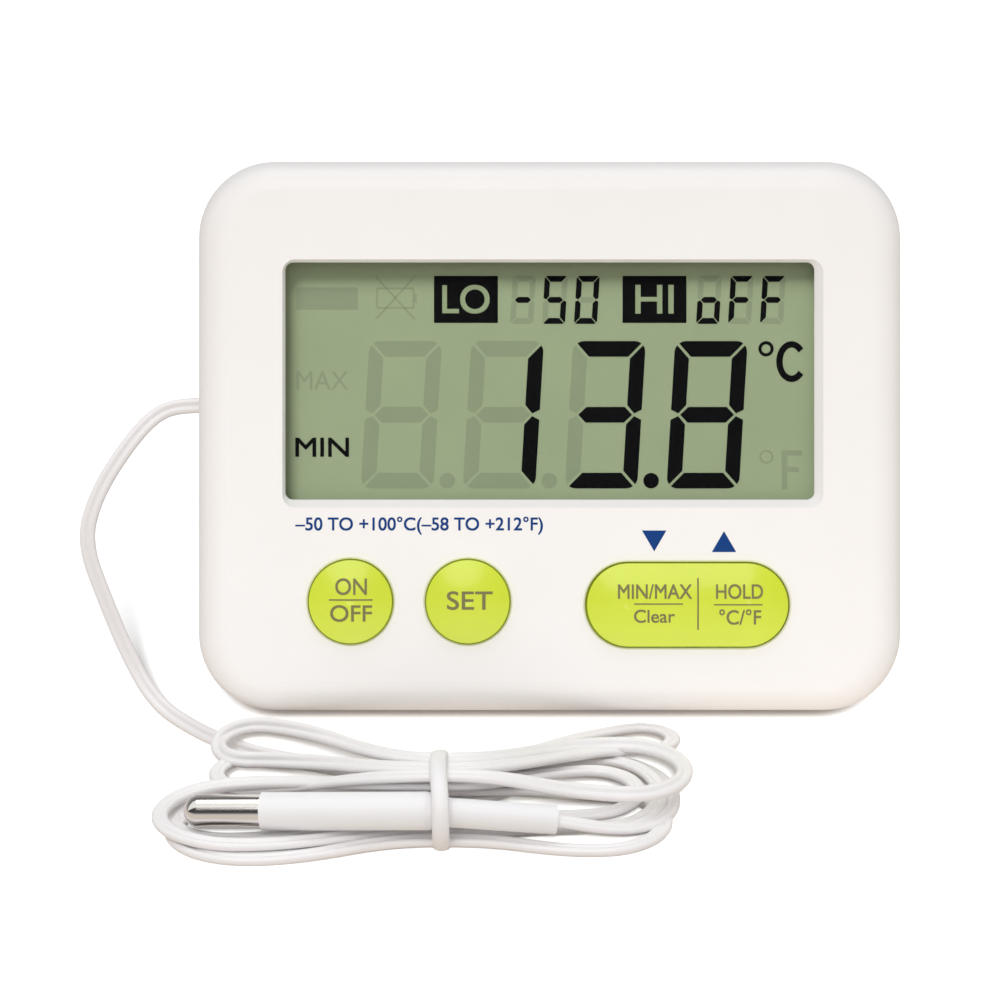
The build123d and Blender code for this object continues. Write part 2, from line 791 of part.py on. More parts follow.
# ---------------------------------------------------------------- keys
for name, (key_x, key_y, key_length, key_width) in keys.items():
    rocks = key_length > key_width
    flange_front = rocker_flange_front if rocks else key_flange_front
    flange_rear = flange_front - key_flange_thickness
    post_end = rocker_post_end if rocks else key_post_end
    half_width = key_width / 2
    spread = (key_length - key_width) / 2
    crown_radius = (half_width**2 + key_crown**2) / (2 * key_crown)
    with BuildPart() as key:
        with BuildSketch(level(flange_rear)):
            key_outline(name, key_flange)
        extrude(amount=key_flange_thickness)
        with BuildSketch(level(flange_rear)):
            key_outline(name)
        extrude(amount=key_edge - flange_rear)

        # Domed top: a round cap at each end, and the same section drawn out between them
        for end in sorted({-spread, spread}):
            with BuildSketch(up_plane(key_x + end, key_y, key_edge, -1)):
                with BuildLine():
                    RadiusArc((0, key_crown), (half_width, 0), crown_radius)
                    Polyline((half_width, 0), (0, 0), (0, key_crown))
                make_face()
            revolve(axis=Axis(case_point(key_x + end, key_y, key_edge), rear_plane.z_dir))
        if rocks:
            with BuildSketch(side_plane(key_x - spread, key_y, key_edge)):
                with BuildLine():
                    RadiusArc((-half_width, 0), (half_width, 0), crown_radius)
                    Line((half_width, 0), (-half_width, 0))
                make_face()
            extrude(amount=2 * spread)

        # Hollow underside with the posts that press the rubber mat
        with BuildSketch(level(flange_rear)):
            key_outline(name, -key_wall)
        extrude(amount=key_edge - key_wall - flange_rear, mode=Mode.SUBTRACT)
        with BuildSketch(level(key_edge - key_wall)):
            with Locations(rocker_post_places if rocks else (key_x, key_y)):
                Circle(key_post_diameter / 2)
        extrude(amount=post_end - key_edge + key_wall)

        # Pads on the rocker's flange bear on the inside of the front wall, and it rocks on them
        if rocks:
            with BuildSketch(level(flange_front)):
                with Locations((key_x, key_y - rocker_pad_offset), (key_x, key_y + rocker_pad_offset)):
                    Rectangle(rocker_pad_width, key_flange - key_gap)
            extrude(amount=key_flange_front - flange_front)
    finish(key.part, name)

# ---------------------------------------------------------------- screws
with BuildPart() as case_screws:
    with BuildSketch(level(case_screw_sink)):
        with Locations(case_screw_places):
            Circle(case_screw_radius)
    extrude(amount=case_screw_length)
    with BuildSketch(level(case_screw_sink)):
        with Locations(case_screw_places):
            Circle(case_screw_head_radius)
    extrude(amount=-case_screw_head_height)
    with BuildSketch(level(case_screw_sink - case_screw_head_height)):
        with Locations(case_screw_places):
            Rectangle(2 * case_screw_radius, screw_slot)
            Rectangle(screw_slot, 2 * case_screw_radius)
    extrude(amount=case_screw_head_height / 2, mode=Mode.SUBTRACT)
finish(case_screws.part, "case_screws")

with BuildPart() as board_screws:
    with BuildSketch(level(board_rear)):
        with Locations(board_screw_places):
            Circle(board_screw_radius)
    extrude(amount=board_screw_length)
    with BuildSketch(level(board_rear)):
        with Locations(board_screw_places):
            Circle(board_screw_head_radius)
    extrude(amount=-board_screw_head_height)
finish(board_screws.part, "board_screws")

# ---------------------------------------------------------------- battery, contacts and door
with BuildPart() as battery_cell:
    with BuildSketch(up_plane(battery_x, cell_low, cell_axis)):
        Circle(cell_diameter / 2)
    extrude(amount=cell_length - cell_nub_length)
    with BuildSketch(up_plane(battery_x, cell_low + cell_length - cell_nub_length, cell_axis)):
        Circle(cell_nub_diameter / 2)
    extrude(amount=cell_nub_length)
finish(battery_cell.part, "battery_cell")

with BuildPart() as battery_plate:
    with BuildSketch(up_plane(battery_x, battery_high, cell_axis)):
        Rectangle(contact_width, contact_width)
    extrude(amount=-contact_thickness)
finish(battery_plate.part, "battery_plate")

with BuildPart() as battery_spring:
    with BuildSketch(up_plane(battery_x, battery_low, cell_axis)):
        Rectangle(contact_width, contact_width)
    extrude(amount=contact_thickness)
    with BuildSketch(side_plane(battery_x - contact_width / 4, battery_low, cell_axis)):
        with BuildLine():
            half = contact_width / 2
            rise = cell_low - battery_low
            ThreePointArc((contact_thickness, -half), (rise, 0), (contact_thickness, half))
            Line((contact_thickness, half), (contact_thickness, half - contact_thickness))
            ThreePointArc(
                (contact_thickness, half - contact_thickness),
                (rise - contact_thickness, 0),
                (contact_thickness, contact_thickness - half),
            )
            Line((contact_thickness, contact_thickness - half), (contact_thickness, -half))
        make_face()
    extrude(amount=contact_width / 2)
finish(battery_spring.part, "battery_spring")

with BuildPart() as battery_door:
    with BuildSketch(level(0)):
        outline()
    extrude(amount=rear_shell_depth)
    fillet(battery_door.faces().sort_by(front_axis)[0].edges(), rear_edge_radius)
    with BuildSketch(level(0)):
        span_outline(door_left, door_right, door_low, case_height)
    extrude(amount=door_thickness, mode=Mode.INTERSECT)
    with BuildSketch(level(door_thickness)):
        span_outline(
            door_left - door_tongue_width,
            door_right + door_tongue_width,
            door_low,
            case_height - rear_edge_radius,
        )
    extrude(amount=-door_tongue_thickness)
    with BuildSketch(level(0)):
        with Locations((battery_x, case_height - rear_edge_radius - door_grip_length)):
            with GridLocations(0, door_grip_pitch, 1, door_grip_count):
                Rectangle(door_grip_length, door_grip_width)
    extrude(amount=door_grip_depth, mode=Mode.SUBTRACT)
finish(battery_door.part, "battery_door")

# ---------------------------------------------------------------- fold-out stand, drawn open
leg_plane = Plane(
    origin=pivot,
    x_dir=(1, 0, 0),
    z_dir=(0, math.cos(back), math.sin(back)),
)
with BuildPart() as stand_leg:
    with BuildSketch(leg_plane.offset(stand_pivot_depth - stand_thickness)) as leg_outline:
        with Locations((0, (stand_length - stand_heel) / 2)):
            Rectangle(stand_width, stand_length + stand_heel)
        fillet(leg_outline.vertices().group_by(Axis.Y)[-1], stand_foot_radius)
    extrude(amount=stand_thickness)
    with BuildSketch(leg_plane.offset(stand_pivot_depth)):
        with Locations((0, stand_length / 2)):
            Rectangle(stand_width - 2 * stand_border, stand_length - 4 * stand_border)
    extrude(amount=-stand_panel_depth, mode=Mode.SUBTRACT)
    with BuildSketch(Plane(origin=pivot, z_dir=(1, 0, 0))):
        Circle(stand_barrel_radius)
    extrude(amount=stand_width / 2, both=True)
    with BuildSketch(Plane(origin=pivot, z_dir=(1, 0, 0))):
        Circle(stand_pin_radius)
    extrude(amount=stand_width / 2 + stand_pin_length, both=True)
    split(bisect_by=Plane.XY, keep=Keep.TOP)
finish(stand_leg.part, "stand_leg")

# ---------------------------------------------------------------- cord, hank, tie and probe
with BuildPart() as inner_lead:
    for side in (-1, 1):
        offset_up = side * lead_diameter / 2 * lead_spread
        points = [
            case_point(lead_start_x, cord_exit_height + offset_up, cord_exit_depth),
            case_point(lead_bend_x, cord_exit_height + offset_up, cord_exit_depth),
            case_point(lead_pad_x, lead_pad_height + offset_up, (cord_exit_depth + board_rear) / 2),
            case_point(lead_pad_x, lead_pad_height + offset_up, board_rear),
        ]
        with BuildLine() as lead_path:
            FilletPolyline(points, radius=lead_diameter)
        with BuildSketch(Plane(origin=points[0], z_dir=(1, 0, 0))):
            Circle(lead_diameter / 2)
        sweep(path=lead_path.line)
finish(inner_lead.part, "inner_lead")

route = [case_point(wall - case_width / 2, cord_exit_height, cord_exit_depth)]
route += [Vector(*point) for point in cord_route]
runs = [(after - before).length for before, after in zip(route, route[1:])]
radii = []
for index in range(1, len(route) - 1):
    turn = (route[index] - route[index - 1]).get_angle(route[index + 1] - route[index])
    reach = bend_share * min(runs[index - 1], runs[index])
    radii.append(reach / math.tan(math.radians(turn / 2)))
print("cord bend radii", [round(radius, 1) for radius in radii], "runs", [round(run, 1) for run in runs])

with BuildPart() as probe_cord:
    with BuildLine() as cord_path:
        FilletPolyline(route, radius=radii)
    with BuildSketch(Plane(origin=route[0], z_dir=route[1] - route[0])):
        Circle(cord_diameter / 2)
    sweep(path=cord_path.line)
finish(probe_cord.part, "probe_cord")
cord_length = sum(edge.length for edge in cord_path.edges())
print("free stretch", round(cord_length, 1), "mm, volume", round(probe_cord.part.volume, 1), "against",
      round(math.pi * cord_diameter**2 / 4 * cord_length, 1))

with BuildPart() as cord_hank:
    for sections in (hank_ground_sections, hank_heap_sections):
        for x, y, width, low, high in sections:
            with BuildSketch(Plane.YZ.offset(x)):
                with Locations((y, (low + high) / 2)):
                    RectangleRounded(width, high - low, min(width, high - low) * hank_corner_share)
        loft(ruled=True)
finish(cord_hank.part, "cord_hank")

with BuildPart() as cord_tie:
    with BuildSketch(Plane.YZ.offset(tie_centre[0] - tie_width / 2)):
        with Locations((tie_centre[1], tie_height / 2)):
            Ellipse(tie_span / 2, tie_height / 2)
            Ellipse(tie_span / 2 - tie_thickness, tie_height / 2 - tie_thickness, mode=Mode.SUBTRACT)
    extrude(amount=tie_width)
finish(cord_tie.part, "cord_tie")

tip = Vector(*probe_tip_point)
probe_direction = (Vector(*probe_cap_point) - tip).normalized()


def probe_plane(distance):
    """Plane square to the probe at a distance from its tip."""
    return Plane(origin=tip + probe_direction * distance, z_dir=probe_direction)


with BuildPart() as probe_tube:
    with BuildSketch(probe_plane(0)):
        Circle(probe_radius)
    extrude(amount=probe_length)
    fillet(probe_tube.faces().sort_by(Axis(tip, probe_direction))[0].edges(), probe_tip_radius)
    with BuildSketch(probe_plane(probe_tip_radius)):
        Circle(probe_radius - probe_wall)
    extrude(amount=probe_length - probe_tip_radius, mode=Mode.SUBTRACT)
finish(probe_tube.part, "probe_tube")

with BuildPart() as thermistor_bead:
    with BuildSketch(probe_plane(probe_tip_radius)):
        Circle(bead_radius)
    extrude(amount=bead_length)
finish(thermistor_bead.part, "thermistor_bead")

with BuildPart() as probe_potting:
    with BuildSketch(probe_plane(probe_tip_radius + bead_length)):
        Circle(probe_radius - probe_wall)
    extrude(amount=probe_length - probe_tip_radius - bead_length)
finish(probe_potting.part, "probe_potting")

sleeve_end = Vector(*sleeve_end_point)
neck_direction = (sleeve_end - probe_plane(probe_length).origin).normalized()
neck_length = (sleeve_end - probe_plane(probe_length).origin).length
with BuildPart() as probe_sleeve:
    with BuildSketch(probe_plane(probe_length - sleeve_cover)):
        Circle(probe_radius + sleeve_wall)
        Circle(probe_radius, mode=Mode.SUBTRACT)
    extrude(amount=sleeve_cover)
    with BuildSketch(probe_plane(probe_length)):
        Circle(probe_radius + sleeve_wall)
    with BuildSketch(Plane(origin=sleeve_end - neck_direction * neck_length * neck_share,
                           z_dir=neck_direction)):
        Circle(sleeve_neck_radius)
    loft()
    with BuildSketch(Plane(origin=sleeve_end, z_dir=neck_direction)):
        Circle(sleeve_neck_radius)
    extrude(amount=-neck_length * neck_share)
finish(probe_sleeve.part, "probe_sleeve")

print("joints: stand pin at", [round(value, 3) for value in pivot], "opens", stand_open_angle, "degrees;")
print("rocker turns", rocker_angle, "degrees each way about", [
    round(value, 3) for value in case_point(rocker_x, rocker_height, rocker_pivot)
])
print("keys press", key_travel, "mm; door slides", door_travel, "mm")
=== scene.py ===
"""Looks of the digital probe thermometer: materials, display, key legends, the twin cord in its hank,
lights and camera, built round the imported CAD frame. Lengths are in millimetres until place() or MM."""

import math

import bmesh
import bpy
import numpy as np
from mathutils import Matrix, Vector


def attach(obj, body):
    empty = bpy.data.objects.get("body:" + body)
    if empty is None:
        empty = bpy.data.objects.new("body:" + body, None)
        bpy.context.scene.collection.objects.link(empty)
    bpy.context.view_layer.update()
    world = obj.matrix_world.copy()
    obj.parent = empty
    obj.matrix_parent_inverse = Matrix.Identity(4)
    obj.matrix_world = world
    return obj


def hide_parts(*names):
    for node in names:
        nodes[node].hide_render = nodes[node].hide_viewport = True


MM = 0.001
LEAN = math.radians(20.0)

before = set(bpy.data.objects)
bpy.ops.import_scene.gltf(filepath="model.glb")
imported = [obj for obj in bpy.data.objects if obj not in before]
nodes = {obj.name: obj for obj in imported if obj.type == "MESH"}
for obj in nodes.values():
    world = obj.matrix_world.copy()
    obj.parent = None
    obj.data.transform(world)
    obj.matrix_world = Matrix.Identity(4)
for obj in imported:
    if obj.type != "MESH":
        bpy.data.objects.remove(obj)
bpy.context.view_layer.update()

# ---------------------------------------------------------------- places in the housing's tilted frame
RIGHT = Vector((1, 0, 0))
UP = Vector((0, math.sin(LEAN), math.cos(LEAN)))
OUT = Vector((0, -math.cos(LEAN), math.sin(LEAN)))


def spread(node):
    """Lowest and highest (right, up, out) of a CAD node along the housing's own directions, in mm."""
    points = np.array([vertex.co for vertex in nodes[node].data.vertices])
    along = np.stack([points @ np.array(axis) for axis in (RIGHT, UP, OUT)], axis=1) / MM
    return along.min(0), along.max(0)


def centre(node):
    """Middle of a CAD node along the housing's own directions, in mm."""
    low, high = spread(node)
    return (low + high) / 2


def place(right, up, out):
    """Point in the frame, in metres, from its place along the housing's own directions in mm."""
    return (RIGHT * right + UP * up + OUT * out) * MM


face_out = spread("front_shell")[1][2]
base_up = spread("front_shell")[0][1]
window_middle = centre("display_window")
display_out = spread("lcd_front_glass")[1][2]


# ---------------------------------------------------------------- materials
# Noise scales in features per metre
COLOUR_SCALE = 90.0
ROUGHNESS_SCALE = 350.0
ROUGHNESS_DRIFT = 0.05


def material(name):
    """A new node material: its nodes, a function that links two sockets, and its Principled shader."""
    made = bpy.data.materials.new(name)
    made.use_nodes = True
    tree = made.node_tree
    return made, tree.nodes, tree.links.new, tree.nodes["Principled BSDF"]


def noise(new, link, scale, detail=3.0, stretch=(1, 1, 1)):
    """Noise over the object's own coordinates."""
    where = new.new("ShaderNodeTexCoord")
    mapping = new.new("ShaderNodeMapping")
    mapping.inputs["Scale"].default_value = stretch
    texture = new.new("ShaderNodeTexNoise")
    texture.inputs["Scale"].default_value = scale
    texture.inputs["Detail"].default_value = detail
    link(where.outputs["Object"], mapping.inputs["Vector"])
    link(mapping.outputs["Vector"], texture.inputs["Vector"])
    return texture.outputs["Fac"]


def shade(new, link, fac, low, high):
    """A colour that runs from low to high with a factor."""
    ramp = new.new("ShaderNodeValToRGB")
    ramp.color_ramp.elements[0].position, ramp.color_ramp.elements[1].position = 0.3, 0.7
    ramp.color_ramp.elements[0].color = (*low, 1)
    ramp.color_ramp.elements[1].color = (*high, 1)
    link(fac, ramp.inputs["Fac"])
    return ramp.outputs["Color"]


def bump(new, link, height, strength, depth):
    """Normal output of a bump of some depth in mm."""
    node = new.new("ShaderNodeBump")
    node.inputs["Strength"].default_value = strength
    node.inputs["Distance"].default_value = depth * MM
    link(height, node.inputs["Height"])
    return node.outputs["Normal"]


def moulded(name, colour, roughness=0.45, drift=0.03, grain=2500.0, grain_depth=0.02, metallic=0.0, coat=0.0,
            stretch=(1, 1, 1)):
    """A moulded, painted or plated surface: colour that drifts a little, and a fine surface grain."""
    made, new, link, shader = material(name)
    low = [max(0.0, part * (1 - drift)) for part in colour]
    high = [min(1.0, part * (1 + drift)) for part in colour]
    link(shade(new, link, noise(new, link, COLOUR_SCALE, stretch=stretch), low, high), shader.inputs["Base Color"])
    link(bump(new, link, noise(new, link, grain, stretch=stretch), 0.35, grain_depth), shader.inputs["Normal"])
    roughness_range = new.new("ShaderNodeMapRange")
    roughness_range.inputs["To Min"].default_value = roughness - ROUGHNESS_DRIFT
    roughness_range.inputs["To Max"].default_value = roughness + ROUGHNESS_DRIFT
    link(noise(new, link, ROUGHNESS_SCALE, stretch=stretch), roughness_range.inputs["Value"])
    link(roughness_range.outputs["Result"], shader.inputs["Roughness"])
    shader.inputs["Metallic"].default_value = metallic
    shader.inputs["Coat Weight"].default_value = coat
    return made


def clear(name, tint, gloss, roughness):
    """Thin clear sheet: light passes straight through it, tinted, under a faint reflection."""
    made, new, link, shader = material(name)
    through = new.new("ShaderNodeBsdfTransparent")
    link(shade(new, link, noise(new, link, 60.0), [part * 0.99 for part in tint], tint), through.inputs["Color"])
    shine = new.new("ShaderNodeBsdfGlossy")
    shine.inputs["Roughness"].default_value = roughness
    rim = new.new("ShaderNodeFresnel")
    rim.inputs["IOR"].default_value = 1.3
    weaker = new.new("ShaderNodeMath")
    weaker.operation = "MULTIPLY"
    weaker.inputs[1].default_value = gloss
    mixed = new.new("ShaderNodeMixShader")
    link(rim.outputs["Fac"], weaker.inputs[0])
    link(weaker.outputs["Value"], mixed.inputs["Fac"])
    link(through.outputs["BSDF"], mixed.inputs[1])
    link(shine.outputs["BSDF"], mixed.inputs[2])
    link(mixed.outputs["Shader"], new["Material Output"].inputs["Surface"])
    new.remove(shader)
    return made


def ink(name, colour, cover):
    """Display segment or print: a dark film that covers what lies behind it by a share."""
    made, new, link, shader = material(name)
    link(shade(new, link, noise(new, link, 400.0), [part * 0.95 for part in colour], colour),
         shader.inputs["Base Color"])
    shader.inputs["Roughness"].default_value = 0.6
    shader.inputs["Specular IOR Level"].default_value = 0.05
    if cover < 1:
        through = new.new("ShaderNodeBsdfTransparent")
        mixed = new.new("ShaderNodeMixShader")
        mixed.inputs["Fac"].default_value = cover
        link(through.outputs["BSDF"], mixed.inputs[1])
        link(shader.outputs["BSDF"], mixed.inputs[2])
        link(mixed.outputs["Shader"], new["Material Output"].inputs["Surface"])
    return made


SHELL_WHITE = moulded("shell_white", (0.874, 0.860, 0.856), 0.4, 0.006, grain_depth=0.01)
KEY_LIME = moulded("key_lime", (0.615, 0.735, 0.034), 0.3, 0.015, grain_depth=0.005, coat=0.2)
CORD_WHITE = moulded("cord_jacket", (0.885, 0.865, 0.87), 0.36, 0.012, grain=1800.0, grain_depth=0.01)
SLEEVE_WHITE = moulded("sleeve_plastic", (0.89, 0.885, 0.90), 0.48, 0.01, grain_depth=0.01)
TIE_WHITE = moulded("tie_plastic", (0.88, 0.87, 0.875), 0.42, 0.01, grain_depth=0.01)
STEEL = moulded("probe_steel", (0.80, 0.78, 0.76), 0.12, 0.03, grain=900.0, grain_depth=0.002, metallic=1.0,
                stretch=(0.05, 1, 1))
DISPLAY_GLASS = moulded("lcd_glass", (0.302, 0.366, 0.219), 0.55, 0.02, grain=1500.0, grain_depth=0.004)
WINDOW_CLEAR = clear("window_clear", (0.985, 0.99, 0.985), 0.25, 0.03)
SEGMENT_ON = ink("lcd_segment", (0.004, 0.004, 0.005), 0.99)
SEGMENT_GHOST = ink("lcd_ghost", (0.09, 0.12, 0.10), 0.12)
SEGMENT_WORD = ink("lcd_word", (0.302, 0.366, 0.219), 1.0)
LEGEND = ink("legend_ink", (0.215, 0.195, 0.09), 1.0)
PRINT_BLUE = ink("print_blue", (0.010, 0.052, 0.22), 1.0)

NODE_MATERIALS = {
    "front_shell": SHELL_WHITE,
    "rear_shell": SHELL_WHITE,
    "battery_door": SHELL_WHITE,
    "stand_leg": SHELL_WHITE,
    "button_on_off": KEY_LIME,
    "button_set": KEY_LIME,
    "button_rocker": KEY_LIME,
    "display_window": WINDOW_CLEAR,
    "lcd_front_glass": DISPLAY_GLASS,
    "lcd_rear_glass": DISPLAY_GLASS,
    "lcd_reflector": moulded("reflector_foil", (0.70, 0.71, 0.67), 0.35, metallic=1.0),
    "lcd_frame": moulded("frame_plastic", (0.72, 0.73, 0.70), 0.5),
    "contact_strip": moulded("strip_rubber", (0.55, 0.35, 0.37), 0.7, stretch=(8, 1, 1)),
    "main_board": moulded("board_laminate", (0.03, 0.20, 0.07), 0.35, 0.15, coat=0.4),
    "controller_chip": moulded("black_resin", (0.015, 0.015, 0.015), 0.3, 0.2),
    "crystal_can": moulded("can_metal", (0.75, 0.74, 0.72), 0.25, metallic=1.0),
    "capacitor": moulded("capacitor_sleeve", (0.02, 0.03, 0.09), 0.35, 0.2),
    "buzzer_disc": moulded("buzzer_brass", (0.80, 0.60, 0.25), 0.3, metallic=1.0),
    "key_mat": moulded("mat_rubber", (0.35, 0.36, 0.36), 0.65, 0.06),
    "case_screws": moulded("screw_steel", (0.55, 0.55, 0.56), 0.28, 0.06, metallic=1.0),
    "board_screws": moulded("screw_steel_small", (0.55, 0.55, 0.56), 0.28, 0.06, metallic=1.0),
    "battery_cell": moulded("cell_jacket", (0.10, 0.11, 0.12), 0.3, 0.1, coat=0.3),
    "battery_plate": moulded("contact_metal", (0.77, 0.76, 0.73), 0.3, metallic=1.0),
    "battery_spring": moulded("contact_metal_spring", (0.77, 0.76, 0.73), 0.3, metallic=1.0),
    "inner_lead": moulded("lead_insulation", (0.75, 0.74, 0.73), 0.45),
    "probe_tube": STEEL,
    "thermistor_bead": moulded("bead_glass", (0.18, 0.10, 0.05), 0.2, 0.1, coat=0.5),
    "probe_potting": moulded("potting_resin", (0.08, 0.08, 0.08), 0.4, 0.1),
    "probe_sleeve": SLEEVE_WHITE,
}
for node, made in NODE_MATERIALS.items():
    nodes[node].data.materials.clear()
    nodes[node].data.materials.append(made)


# ---------------------------------------------------------------- flat shapes on the face and in the display
def digit_polygons(lit, x, y, width, height, across, upright, corner, gap, slant):
    """Seven-segment digit: polygons of the segments named in lit, from letters a to g. across and upright
    are the bars' thickness; the outer corners are rounded and the ends mitred with a gap."""
    half = height / 2
    slip = gap / math.sqrt(2)
    turn = math.degrees(gap / 2 / corner)

    def bend(first, last, steps=4):
        angles = [math.radians(first + (last - first) * k / steps) for k in range(steps + 1)]
        return [(corner + corner * math.cos(a), height - corner + corner * math.sin(a)) for a in angles]

    def mirror(polygon):
        return [(width - px, py) for px, py in polygon]

    def flip(polygon):
        return [(px, height - py) for px, py in polygon]

    left_end = [(upright + slip, height - across)] + bend(135 - turn, 90)
    top = left_end + mirror(left_end)[::-1]
    upper_left = bend(180, 135 + turn) + [
        (upright, height - across - slip),
        (upright, half + across / 2 + slip),
        (upright / 2, half + gap / 2),
        (0, half + gap / 2 + upright / 4),
    ]
    tip = [(upright / 2 + across / 2 + slip, half - across / 2), (upright / 2 + slip, half),
           (upright / 2 + across / 2 + slip, half + across / 2)]
    shapes = {"a": top, "b": mirror(upper_left), "c": flip(mirror(upper_left)), "d": flip(top),
              "e": flip(upper_left), "f": upper_left, "g": tip + mirror(tip)[::-1]}
    return [[(x + px + slant * py, y + py) for px, py in shapes[letter]] for letter in lit]


def ring_polygons(x, y, radius, stroke, start=0.0, sweep=360.0, stretch=1.0, steps=36):
    """Ring or open arc drawn as short four-sided pieces; stretch makes it taller than wide."""
    angles = [math.radians(start + sweep * k / steps) for k in range(steps + 1)]
    edge = [[(x + r * math.cos(a), y + r * math.sin(a) * s) for a in angles]
            for r, s in ((radius, stretch), (radius - stroke, (radius * stretch - stroke) / (radius - stroke)))]
    return [[edge[0][k], edge[0][k + 1], edge[1][k + 1], edge[1][k]] for k in range(steps)]


def box_polygon(left, low, right, high):
    """Upright rectangle as a polygon."""
    return [(left, low), (right, low), (right, high), (left, high)]


def line_polygon(start, end, stroke):
    """Straight stroke between two points as a polygon."""
    start, end = Vector(start), Vector(end)
    side = Vector((start.y - end.y, end.x - start.x)).normalized() * stroke / 2
    return [tuple(point) for point in (start - side, end - side, end + side, start + side)]


def disc_polygon(x, y, radius, steps=32):
    """Round dot as a polygon."""
    return [(x + radius * math.cos(2 * math.pi * k / steps), y + radius * math.sin(2 * math.pi * k / steps))
            for k in range(steps)]


def text_mesh(text, box, height):
    """Lettering as a flat mesh that fills a box given by its left, lower, right and upper edge."""
    curve = bpy.data.curves.new(text, "FONT")
    curve.body = text
    writer = bpy.data.objects.new(text, curve)
    bpy.context.scene.collection.objects.link(writer)
    bpy.context.view_layer.update()
    mesh = bpy.data.meshes.new_from_object(writer)
    bpy.data.objects.remove(writer)
    bpy.data.curves.remove(curve)
    left, low, right, high = box
    xs, ys = ([vertex.co[axis] for vertex in mesh.vertices] for axis in (0, 1))
    for vertex in mesh.vertices:
        vertex.co = (left + (right - left) * (vertex.co.x - min(xs)) / (max(xs) - min(xs)),
                     low + (high - low) * (vertex.co.y - min(ys)) / (max(ys) - min(ys)), height)
    return mesh


def sheet(name, words, polygons, made, body, lift, cut=False):
    """Flat lettering and shapes drawn in mm, lifted point by point into the frame, as one object. words
    holds (text, box, weight): a weight sets four copies that far apart, in layers, for wider strokes.
    cut slices the sheet so that it can follow a curve."""
    work = bmesh.new()
    for text, (left, low, right, high), weight in words:
        for layer, (x, y) in enumerate(sorted({(0, 0), (weight, 0), (0, weight), (weight, weight)})):
            mesh = text_mesh(text, (left + x, low + y, right - weight + x, high - weight + y), layer * LAYER)
            work.from_mesh(mesh)
            bpy.data.meshes.remove(mesh)
    for polygon in polygons:
        work.faces.new([work.verts.new((x, y, 0)) for x, y in polygon])
    bmesh.ops.triangulate(work, faces=work.faces)
    if cut:
        for axis in (0, 1):
            low = min(vertex.co[axis] for vertex in work.verts)
            high = max(vertex.co[axis] for vertex in work.verts)
            for k in range(1, math.ceil((high - low) / CUT_STEP)):
                point, normal = Vector((0, 0, 0)), Vector((0, 0, 0))
                point[axis], normal[axis] = low + k * CUT_STEP, 1
                bmesh.ops.bisect_plane(work, geom=work.verts[:] + work.edges[:] + work.faces[:],
                                       plane_co=point, plane_no=normal, dist=1e-5)
    for vertex in work.verts:
        vertex.co = lift(vertex.co.x, vertex.co.y) + OUT * vertex.co.z * MM
    mesh = bpy.data.meshes.new(name)
    work.to_mesh(mesh)
    work.free()
    mesh.materials.append(made)
    obj = bpy.data.objects.new(name, mesh)
    bpy.context.scene.collection.objects.link(obj)
    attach(obj, body)
    return obj


CUT_STEP = 0.5
FILM = 0.03
LAYER = 0.004
RAY_START = 10.0


def face_lift(x, y):
    """Point just over the housing's flat front, from mm right of its middle and up from its rear edge."""
    return place(x, base_up + y, face_out + FILM)


def display_lift(x, y):
    """Point just over the display's glass, from mm right of and above the window's middle."""
    return place(window_middle[0] + x, window_middle[1] + y, display_out + FILM)


def word_lift(x, y):
    """Point just over the display's dark blocks, for the words that they leave open."""
    return place(window_middle[0] + x, window_middle[1] + y, display_out + 2 * FILM)


def key_lift(node):
    """Lift onto a key's crowned front."""
    key = nodes[node]
    inverse = key.matrix_world.inverted()

    def lift(x, y):
        start = inverse @ place(x, base_up + y, face_out + RAY_START)
        hit, where, normal, index = key.ray_cast(start, inverse.to_3x3() @ -OUT)
        if not hit:
            raise ValueError(f"{node} has no surface behind {x:.2f}, {y:.2f}")
        return key.matrix_world @ where + OUT * FILM * MM

    return lift


# ---------------------------------------------------------------- the display's image
DIGIT = {"width": 11.35, "height": 23.06, "across": 2.45, "upright": 2.32, "corner": 1.75, "gap": 0.42,
         "slant": 0.059}
DIGIT_PITCH = 15.94
DIGIT_LEFT = -29.55
DIGIT_LOW = -16.75
SMALL = {"width": 3.6, "height": 7.5, "across": 0.92, "upright": 0.86, "corner": 0.5, "gap": 0.14, "slant": 0.059}
SMALL_PITCH = 5.0
SMALL_LOW = 9.0
DOT_RADIUS = 1.22
DOT_ASIDE = 2.4
BATTERY_STROKE = 0.28
ALL_SEGMENTS = "abcdefg"

LARGE_DIGITS = ["", "bc", "abcdg", "abcdefg"]
LIT_DOT = 3
SMALL_GROUPS = [(-6.2, ["g", "acdfg", "abcdef"]), (22.9, ["cdeg", "aefg", "aefg"])]
on_shapes, ghost_shapes = [], []


def add_digit(lit, left, low, digit):
    """Segments of one digit, the lit and the unlit ones, added to the display's shapes."""
    on_shapes.extend(digit_polygons(lit, left, low, **digit))
    ghost_shapes.extend(digit_polygons([letter for letter in ALL_SEGMENTS if letter not in lit], left, low, **digit))


for index, lit in enumerate(LARGE_DIGITS):
    left = DIGIT_LEFT + index * DIGIT_PITCH
    add_digit(lit, left, DIGIT_LOW, DIGIT)
    if index:
        dots = on_shapes if index == LIT_DOT else ghost_shapes
        dots.append(disc_polygon(left - DOT_ASIDE, DIGIT_LOW + DOT_RADIUS, DOT_RADIUS))
for left, group in SMALL_GROUPS:
    for index, lit in enumerate(group):
        add_digit(lit, left + index * SMALL_PITCH, SMALL_LOW, SMALL)
